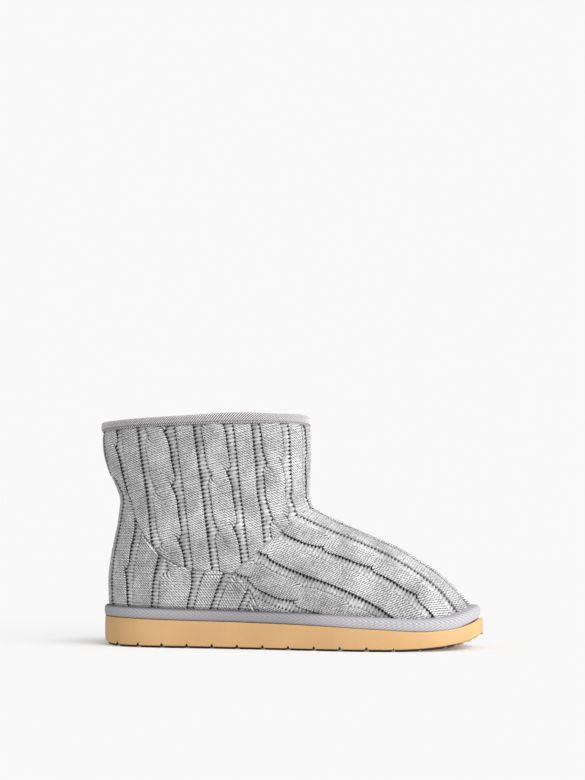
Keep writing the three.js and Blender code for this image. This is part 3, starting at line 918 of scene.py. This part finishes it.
def makeCollar():
    angle = anglesRound(collar["count"])
    outside, inside = collar["proud"], -form["upperWall"] - collar["within"]
    tall = tape["binding"]
    # section: up the outer face, over the rim and down the inner face
    turn = np.linspace(0, math.pi, 13)
    middle, half = (outside + inside) / 2, (outside - inside) / 2
    face = np.linspace(tall, collar["rim"], 17)[:-1]
    over = middle + half * np.sign(np.cos(turn)) * np.abs(np.cos(turn)) ** 0.45
    offsets = np.concatenate([np.full(len(face), outside), over, np.full(5, inside)])
    downs = np.concatenate([face, collar["rim"] * (1 - np.sin(turn) ** 0.8),
                            np.linspace(collar["rim"], tall, 6)[1:]])
    rim = levelRing(angle, 1, 0)
    arc = walked(rim)
    # flatter ribs towards the front, where the tape runs round the bend
    slope = collar["slope"] * (1 + 0.9 * smooth(-np.cos(angle), 0.1, 0.9))
    rng = np.random.default_rng(9)
    dash = smooth(np.sin(2 * math.pi * arc / collar["stitchPitch"]), -0.5, 0.3)
    stitches = np.arange(0, 0.6, collar["stitchPitch"])
    dash = dash * np.interp(arc, stitches, rng.uniform(0.25, 1, len(stitches)))
    crown = collar["crown"] * bell(rim[:, 0] - collar["crownAt"], collar["crownWidth"]) * (rim[:, 1] < 0)
    ends = smooth(np.abs(np.cos(angle)), 0.75, 1)
    # painted shade, darker towards the back, away from the light
    backShade = collar["backShade"] * smooth(np.cos(angle), -0.2, 0.9)
    sections, across, sunk = [], [], []
    travel = 0
    for k, (offset, down) in enumerate(zip(offsets, downs)):
        if k:
            travel += math.hypot(offset - offsets[k - 1], down - downs[k - 1])
        outer = offset > middle
        twill = (arc - travel * slope) / collar["twill"]
        fade = smooth(tall - down, 0.8 * mm, 1.6 * mm) if outer else 1
        rib = np.cos(2 * math.pi * twill) * collar["twillDepth"] * fade
        stitch = bell(tall - down - collar["stitchUp"], collar["stitchWidth"]) * outer
        bulge = collar["bulge"] * math.sin(math.pi * min(1, max(0, (tall - down) / tall)))
        lip = collar["lip"] * smooth(0.5 * mm - (tall - down), 0, 0.6 * mm)
        reach = rib + bulge - lip - collar["stitchDepth"] * stitch * (0.35 + 0.65 * dash)
        ring = levelRing(angle, 1 - down / wallHeight, offset + (1 if outer else -1) * reach)
        upper = 1 - down / tall
        ring[:, 0] -= collar["endReach"] * ends * np.sign(np.cos(angle)) * upper
        ring[:, 2] += (collar["rise"] + crown + collar["endRise"] * ends) * upper
        sections.append(ring)
        across.append(twill)
        # painted shade in the sunk stitch line, with the back's painted shade
        sunk.append(np.clip(backShade + stitch * (0.3 + 0.7 * dash), 0, 1))
    for offset in (inside + 1 * mm, outside - 1.2 * mm):
        sections.append(levelRing(angle, 1 - tall / wallHeight, offset))
    across += [across[-1], across[0]]
    # the row tucked under the knit is painted in full shadow
    sunk += [sunk[-1], np.ones_like(angle)]
    lap = (arc[-1] + 0.3 * mm) / collar["twill"]
    return tapePiece("collarTape", sections, across, sunk, lap, np.arange(len(across) + 1) * 1.2)


sole = {
    "count": 1200,
    "rim": [(2.2, 0), (2, 0.7), (1.8, 1.5), (0.4, 1.6), (0.1, 1.75), (0, 2.1)],  # in, up in mm
    "toeLean": 2.6 * mm,
    "rimShadow": [1, 1, 1, 0.3, 0, 0],
    "grooveStart": 34.4 * mm,
    "groovePitch": 17.8 * mm,
    "grooveCount": 14,
    "grooveHalf": 2.0 * mm,
    "grooveDepth": 3.5 * mm,
    "scallopPitch": 8 * mm,
    "scallopCount": 4,
    "scallopHalf": 2.2 * mm,
    "scallopDepth": 0.9 * mm,
    "across": 40,
    "belly": 0.25 * mm,
    "topRound": 0.5 * mm,
}


def groovePlaces():
    straight = sole["grooveStart"] + sole["groovePitch"] * np.arange(sole["grooveCount"])
    scallops = straight[-1] + sole["scallopPitch"] * np.arange(1, sole["scallopCount"] + 1)
    edge = soleEdge(np.linspace(0, math.pi, 1441))
    return [np.interp(places, walked(edge), edge[:, 0]) for places in (straight, scallops)]


grooveXs, scallopXs = groovePlaces()


def notchShare(x, places, half):
    away = np.min(np.abs(np.asarray(x)[..., None] - places), axis=-1)
    return np.clip(1 - away / half, 0, 1)


def grooveAt(x):
    shallower = 1 - 0.45 * smooth(x / form["soleLength"], 0.7, 0.85)
    grooves = sole["grooveDepth"] * notchShare(x, grooveXs, sole["grooveHalf"] * shallower) * shallower
    return grooves + sole["scallopDepth"] * smooth(notchShare(x, scallopXs, sole["scallopHalf"]), 0, 1)


def makeSole():
    # a closed section at each station from heel to toe, with closer stations at the grooves
    edgeX = soleEdge(np.linspace(0, math.pi, sole["count"])[1:-1])[:, 0]
    close = [x + np.linspace(-1, 1, 9) * sole["grooveHalf"] for x in [*grooveXs, *scallopXs]]
    share = np.unique(np.clip(np.concatenate([edgeX, *close]) / form["soleLength"], 1e-5, 1 - 1e-5))
    angle = np.arccos(1 - 2 * share)
    sides, darks = [], []
    for around in (angle, 2 * math.pi - angle):
        edge = soleEdge(around)
        ahead = soleEdge(around + 0.002) - soleEdge(around - 0.002)
        inward = np.stack([-ahead[:, 1], ahead[:, 0]], -1)
        inward /= np.linalg.norm(inward, axis=1, keepdims=True)
        under, top = soleUnderAt(edge[:, 0]), soleTopAt(edge[:, 0])
        groove = grooveAt(edge[:, 0])
        line, dark = [], []
        # the lowest rim rows and the rim inside each notch are painted in shadow, fading out where the toe
        # lifts off the floor
        for (into, up), tone in zip(sole["rim"], sole["rimShadow"]):
            xy = edge + inward * into * mm
            low = soleUnderAt(xy[:, 0])
            cut = grooveAt(xy[:, 0])
            line.append(np.column_stack([xy, np.maximum(low + up * mm, low + cut)]))
            fade = 1 - smooth(edge[:, 0] / form["soleLength"], 0.93, 0.97)
            dark.append(fade * np.maximum(tone, cut > up * mm + 0.1 * mm))
        rim = sole["rim"][-1][1] * mm
        lean = sole["toeLean"] * smooth(edge[:, :1] / form["soleLength"], 0.95, 1)
        for rise in np.linspace(0, 1, 15)[1:-1]:
            z = np.maximum(under + rim + (top - rim - under) * rise, under + groove + rise * 0.2 * mm)
            belly = sole["belly"] * math.sin(math.pi * rise)
            line.append(np.column_stack([edge - inward * belly + inward * lean * rise, z]))
            dark.append(np.zeros_like(z))
        for c in np.linspace(0, math.pi / 2, 5):
            xy = edge + inward * (lean + sole["topRound"] * (1 - math.cos(c)))
            line.append(np.column_stack([xy, soleTopAt(xy[:, 0]) - sole["topRound"] * (1 - math.sin(c))]))
            dark.append(np.zeros_like(top))
        sides.append(line)
        darks.append(dark)
    outer, inner = sides
    topLine, underLine = [], []
    for s in np.linspace(0, 1, 9)[1:-1]:
        xy = outer[-1][:, :2] * (1 - s) + inner[-1][:, :2] * s
        topLine.append(np.column_stack([xy, soleTopAt(xy[:, 0])]))
    for s in np.linspace(1, 0, sole["across"] + 1)[1:-1]:
        xy = outer[0][:, :2] * (1 - s) + inner[0][:, :2] * s
        underLine.append(np.column_stack([xy, soleUnderAt(xy[:, 0]) + grooveAt(xy[:, 0])]))
    points = np.stack(outer + topLine + inner[::-1] + underLine, axis=1)
    clean = [np.zeros(len(angle))] * len(topLine)
    # the tread's grooves are painted in shadow
    tread = [np.clip(grooveAt(line[:, 0]) / mm, 0, 1) for line in underLine]
    dark = np.stack(darks[0] + clean + darks[1][::-1] + tread, axis=1)
    # gather each end to its own upright line
    for end, x in ((0, 0.0), (-1, form["soleLength"])):
        points[end, :, 0] = x
        points[end, :, 1] = bendAt(np.array(x))
    mesh = sheetMesh("soleFoam", closeRows(points))
    addValue(mesh, "sunk", closeRows(dark))
    return closeMesh("soleFoam", mesh, 2e-6)


lining = {"from": 2.9 * mm, "thick": 0.4 * mm, "below": 1.2 * mm, "nap": 0.14 * mm, "seed": 11}


def makeLining():
    heights = np.linspace(0, 1 - lining["below"] / wallHeight, 90)
    grid = np.meshgrid(anglesRound(360), heights, indexing="ij")
    points, normals = onSkin(skin, *grid), onSkin(skinNormals, *grid)
    nap = np.random.default_rng(lining["seed"]).normal(0, lining["nap"], grid[0].shape)
    outer = points - normals * lining["from"]
    inner = points - normals * (form["upperWall"] + lining["thick"] + nap)[..., None]
    wall = closeTube(np.concatenate([outer, inner[:, ::-1]], axis=1))
    return closeMesh("lining", sheetMesh("lining", wall))


footbed = {"thick": 5.2 * mm, "inset": 0.3 * mm, "dish": 1.1 * mm, "nap": 0.12 * mm, "seed": 12}


def makeFootbed():
    angle = np.linspace(0, math.pi, 260)[1:-1]
    height, inset = (footbed["thick"] + 0.1 * mm) / wallHeight, -form["upperWall"] - footbed["inset"]
    left, right = (levelRing(a, height, inset)[:, :2] for a in (angle, 2 * math.pi - angle))
    rng = np.random.default_rng(footbed["seed"])
    columns = []
    for s in np.linspace(0, 1, 61):
        xy = left * (1 - s) + right * s
        dish = footbed["dish"] * np.abs(2 * s - 1) ** 6
        z = soleTopAt(xy[:, 0]) + footbed["thick"] + dish + rng.normal(0, footbed["nap"], len(xy))
        columns.append(np.column_stack([xy, z]))
    for s in (1, 0.5, 0):
        xy = left * (1 - s) + right * s
        columns.append(np.column_stack([xy, soleTopAt(xy[:, 0]) + form["clearance"]]))
    return closeMesh("footbed", sheetMesh("footbed", closeRows(np.stack(columns, axis=1))), fill=True)


# Materials
def setInputs(tree, node, inputs):
    # each input gets a value, or a socket that leads to it
    for key, value in dict(inputs).items():
        if isinstance(value, bpy.types.NodeSocket):
            tree.links.new(value, node.inputs[key])
        else:
            node.inputs[key].default_value = value


def addNode(tree, kind, inputs=(), **settings):
    node = tree.nodes.new("ShaderNode" + kind)
    for name, value in settings.items():
        setattr(node, name, value)
    setInputs(tree, node, inputs)
    return node


def addMath(tree, operation, *values):
    return addNode(tree, "Math", enumerate(values), operation=operation).outputs[0]


def addNoise(tree, place, scale, detail, roughness=0.5):
    inputs = {"Vector": place, "Scale": scale, "Detail": detail, "Roughness": roughness}
    return addNode(tree, "TexNoise", inputs).outputs["Fac"]


def addSpread(tree, value, low, high, top=1, kind="LINEAR"):
    inputs = {"Value": value, "From Min": low, "From Max": high, "To Max": top}
    return addNode(tree, "MapRange", inputs, interpolation_type=kind).outputs[0]


def addMix(tree, share, first, second):
    inputs = {"Factor": share, "A": first, "B": second}
    return addNode(tree, "Mix", inputs, data_type="RGBA").outputs["Result"]


def addBump(tree, height, strength, distance):
    inputs = {"Height": height, "Strength": strength, "Distance": distance}
    return addNode(tree, "Bump", inputs).outputs["Normal"]


def objectPlace(tree):
    return addNode(tree, "TexCoord").outputs["Object"]


def newGroup(name, inputs):
    # a group that gives a colour and a height, with its inputs' and outputs' sockets
    group = bpy.data.node_groups.new(name, "ShaderNodeTree")
    for socket, value in inputs.items():
        kind = "NodeSocketFloat" if isinstance(value, float) else "NodeSocketColor"
        group.interface.new_socket(name=socket, in_out="INPUT", socket_type=kind).default_value = value
    for socket, kind in (("Color", "NodeSocketColor"), ("Height", "NodeSocketFloat")):
        group.interface.new_socket(name=socket, in_out="OUTPUT", socket_type=kind)
    return group, group.nodes.new("NodeGroupInput").outputs, group.nodes.new("NodeGroupOutput")


def newMaterial(name):
    material = bpy.data.materials.new(name)
    material.use_nodes = True
    return material, material.node_tree, material.node_tree.nodes["Principled BSDF"]


wool = {
    "light": (0.86, 0.86, 0.865, 1),
    "dark": (0.34, 0.34, 0.345, 1),
    # the darkest colour below is painted shadow, for the knit's gaps, holes and cable floors
    "paintedShadow": (0.008, 0.008, 0.01, 1),
    "fleckShare": 0.45,
    "fibreShare": 0.3,
    "blotchShare": 0.25,
    "fibreStretch": (7, 1.6, 1),
    "twist": 1.5,  # turns of the plies in one row
    "plyHeight": 0.35,
    "roughness": 0.95,
    "bump": 0.12 * mm,
}


def yarnColour():
    # heathered wool: light and dark fibres mixed in every yarn
    group, given, out = newGroup("yarnColour", {
        "Light": (0.6, 0.6, 0.61, 1), "Dark": (0.2, 0.2, 0.21, 1), "PaintedShadow": (0.03, 0.03, 0.03, 1),
        "Shade": 1.0, "Hatch": 0.5,
    })
    place = objectPlace(group)
    uv = addNode(group, "UVMap", uv_map="yarn").outputs["UV"]
    stretched = addNode(group, "Mapping", {"Vector": uv, "Scale": wool["fibreStretch"]})
    fibre = addNoise(group, stretched.outputs["Vector"], 3, 5)
    mixed = addMath(group, "MULTIPLY", addNoise(group, place, 60, 3), wool["blotchShare"])
    mixed = addMath(group, "MULTIPLY_ADD", fibre, wool["fibreShare"], mixed)
    mixed = addMath(group, "MULTIPLY_ADD", addNoise(group, place, 900, 4, 0.7), wool["fleckShare"], mixed)
    tone = addMix(group, addSpread(group, mixed, 0.4, 0.6, kind="SMOOTHSTEP"), given["Dark"], given["Light"])
    # two plies twisted round each other, with stray fibres, as a bump and as a hatch of painted shade in the
    # grooves between them
    split = addNode(group, "SeparateXYZ", {"Vector": uv}).outputs
    twist = addMath(group, "MULTIPLY_ADD", split["Y"], wool["twist"], split["X"])
    ply = addMath(group, "SINE", addMath(group, "MULTIPLY", twist, 2 * math.pi))
    # the shade attribute and the hatch mix the wool's colour towards the painted shadow colour
    hatched = addMath(group, "MULTIPLY_ADD", ply, given["Hatch"], given["Shade"])
    setInputs(group, out, {
        "Color": addMix(group, addSpread(group, hatched, 0, 0.9), given["PaintedShadow"], tone),
        "Height": addMath(group, "MULTIPLY_ADD", ply, wool["plyHeight"], fibre),
    })
    return group


def knitMaterial():
    material, tree, shader = newMaterial("wool")
    # the knit's "shade" attribute carries its painted shade
    yarn = addNode(tree, "Group", {
        "Light": wool["light"], "Dark": wool["dark"], "PaintedShadow": wool["paintedShadow"],
        "Shade": addNode(tree, "Attribute", attribute_name="shade").outputs["Fac"],
    }, node_tree=yarnColour()).outputs
    setInputs(tree, shader, {
        "Base Color": yarn["Color"], "Normal": addBump(tree, yarn["Height"], 0.6, wool["bump"]),
        "Roughness": wool["roughness"], "Specular IOR Level": 0.15, "Sheen Weight": 0.25,
        "Sheen Roughness": 0.6,
    })
    return material


def twillLook():
    # light ribs and furrows painted in shade, of a twill tape, from a UV map that counts ribs and threads
    group, given, out = newGroup("twillLook", {"Rib": (0.5, 0.5, 0.5, 1), "FurrowShade": (0.2, 0.2, 0.2, 1)})
    uv = addNode(group, "UVMap", uv_map="weave").outputs["UV"]
    split = addNode(group, "SeparateXYZ", {"Vector": uv}).outputs
    rib, thread = (addMath(group, "COSINE", addMath(group, "MULTIPLY", split[axis], 2 * math.pi))
                   for axis in "XY")
    woven = addMath(group, "MULTIPLY_ADD", thread, 0.25, rib)
    rough = addMath(group, "MULTIPLY_ADD", addNoise(group, objectPlace(group), 700, 4), 0.5, woven)
    tone = addMix(group, addSpread(group, rough, -0.6, 1.2), given["FurrowShade"], given["Rib"])
    setInputs(group, out, {"Color": tone, "Height": rough})
    return group


def paintShade(tree, colour, dark):
    # the colour, mixed with a painted shadow colour where the mesh's "sunk" value says so: painted shade in
    # grooves, along edges and on the side away from the light
    return addMix(tree, addNode(tree, "Attribute", attribute_name="sunk").outputs["Fac"], colour, dark)


def tapeMaterial(name, rib, furrow):
    material, tree, shader = newMaterial(name)
    look = bpy.data.node_groups.get("twillLook") or twillLook()
    twill = addNode(tree, "Group", {"Rib": rib, "FurrowShade": furrow}, node_tree=look).outputs
    # the dark colour below is painted shadow, laid on where "sunk" says
    setInputs(tree, shader, {
        "Base Color": paintShade(tree, twill["Color"], (0.06, 0.055, 0.06, 1)),
        "Normal": addBump(tree, twill["Height"], 0.5, 0.1 * mm),
        "Roughness": 0.85, "Specular IOR Level": 0.25,
    })
    return material


# the foam's darkest colour is painted shadow, laid on its rim and grooves
foam = {"light": (0.655, 0.395, 0.176, 1), "dark": (0.58, 0.343, 0.147, 1),
        "paintedShadow": (0.012, 0.009, 0.007, 1),
        "scale": 24, "roughness": 0.62, "bumpScale": 900, "bumpDepth": 0.05 * mm}
fleece = {"light": (0.72, 0.71, 0.69, 1), "dark": (0.5, 0.49, 0.48, 1),
          "scale": 300, "roughness": 1.0, "bumpScale": 700, "bumpDepth": 0.5 * mm}


def noiseMaterial(name, look):
    material, tree, shader = newMaterial(name)
    place = objectPlace(tree)
    share = addSpread(tree, addNoise(tree, place, look["scale"], 5), 0.35, 0.65)
    colour = addMix(tree, share, look["dark"], look["light"])
    # painted shadow where the mesh's "sunk" value says so
    if "paintedShadow" in look:
        colour = paintShade(tree, colour, look["paintedShadow"])
    bump = addBump(tree, addNoise(tree, place, look["bumpScale"], 4), 0.5, look["bumpDepth"])
    setInputs(tree, shader, {"Base Color": colour, "Normal": bump, "Roughness": look["roughness"]})
    return material


def give(piece, material, slot, *nodes):
    piece.data.materials.append(material)
    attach(piece, "root")
    if nodes:
        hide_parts(*nodes)


panels, counterPiece = makeKnit()
woolMaterial = knitMaterial()
for piece in panels:
    give(piece, woolMaterial, "knit", "upper")
give(counterPiece, woolMaterial, "knit", "heel_counter")
print("knit done")
# each tape's second colour is painted shade in its twill's furrows; the collar's is near black
foxingMaterial = tapeMaterial("foxingWeave", (0.57, 0.555, 0.585, 1), (0.44, 0.43, 0.46, 1))
collarMaterial = tapeMaterial("collarWeave", (0.8, 0.765, 0.78, 1), (0.07, 0.065, 0.065, 1))
fleeceMaterial = noiseMaterial("fleece", fleece)
give(makeFoxing(), foxingMaterial, "woven_tape", "foxing_band")
give(makeCollar(), collarMaterial, "woven_tape", "collar_binding")
give(makeSole(), noiseMaterial("foam", foam), "sole_foam", "outsole")
give(makeLining(), fleeceMaterial, "lining", "upper")
give(makeFootbed(), fleeceMaterial, "lining", "insole")
print("pieces done")

# Studio
studio = {"floor": 6.0, "ambient": 0.55, "backdrop": 0.947, "sun": 3.5, "sunAngle": 50,
          "sunFrom": (0.8, -0.42, 0.62), "floorShade": 0.8, "oval": (1, 1.8, 1), "glowFrom": 0.02,
          "glowTo": 0.16, "glow": 0.85, "underBoot": 0.065}


def floorMaterial():
    # white paper that glows a little, further from the boot, so that its shadow stays near it
    material, tree, shader = newMaterial("floorPaper")
    tree.nodes.remove(shader)
    away = addNode(tree, "Mapping", {"Vector": objectPlace(tree), "Scale": studio["oval"]}).outputs["Vector"]
    for operation, x in (("ABSOLUTE", 0), ("SUBTRACT", studio["underBoot"]), ("MAXIMUM", 0)):
        away = addNode(tree, "VectorMath", {0: away, 1: (x, 0, 0)}, operation=operation).outputs["Vector"]
    far = addNode(tree, "VectorMath", {0: away}, operation="LENGTH").outputs["Value"]
    glowing = addSpread(tree, far, studio["glowFrom"], studio["glowTo"], studio["glow"], "SMOOTHSTEP")
    paper = addNode(tree, "BsdfDiffuse", {"Color": (*[studio["floorShade"]] * 3, 1)})
    glow = addNode(tree, "Emission", {"Strength": studio["backdrop"]})
    mix = addNode(tree, "MixShader", {"Fac": glowing, 1: paper.outputs[0], 2: glow.outputs[0]})
    setInputs(tree, tree.nodes["Material Output"], {"Surface": mix.outputs[0]})
    return material


def makeStudio():
    mesh = gridMesh("floor", [(2, 2)], studio["floor"])
    mesh.materials.append(floorMaterial())
    floor = addObject("floor", mesh)
    data = bpy.data.lights.new("key", "SUN")
    data.energy = studio["sun"]
    data.angle = math.radians(studio["sunAngle"])
    key = addObject("key", data)
    key.rotation_euler = Vector(studio["sunFrom"]).to_track_quat("Z", "Y").to_euler()
    world = bpy.data.worlds.new("studio")
    scene.world = world
    world.use_nodes = True
    tree = world.node_tree
    ambient, white = tree.nodes["Background"], (1, 1, 1, 1)
    setInputs(tree, ambient, {"Color": white, "Strength": studio["ambient"]})
    seen = addNode(tree, "Background", {"Color": white, "Strength": studio["backdrop"]})
    fromCamera = addNode(tree, "LightPath").outputs["Is Camera Ray"]
    mix = addNode(tree, "MixShader", {"Fac": fromCamera, 1: ambient.outputs[0], 2: seen.outputs[0]})
    setInputs(tree, tree.nodes["World Output"], {"Surface": mix.outputs[0]})


makeStudio()
print("studio done")
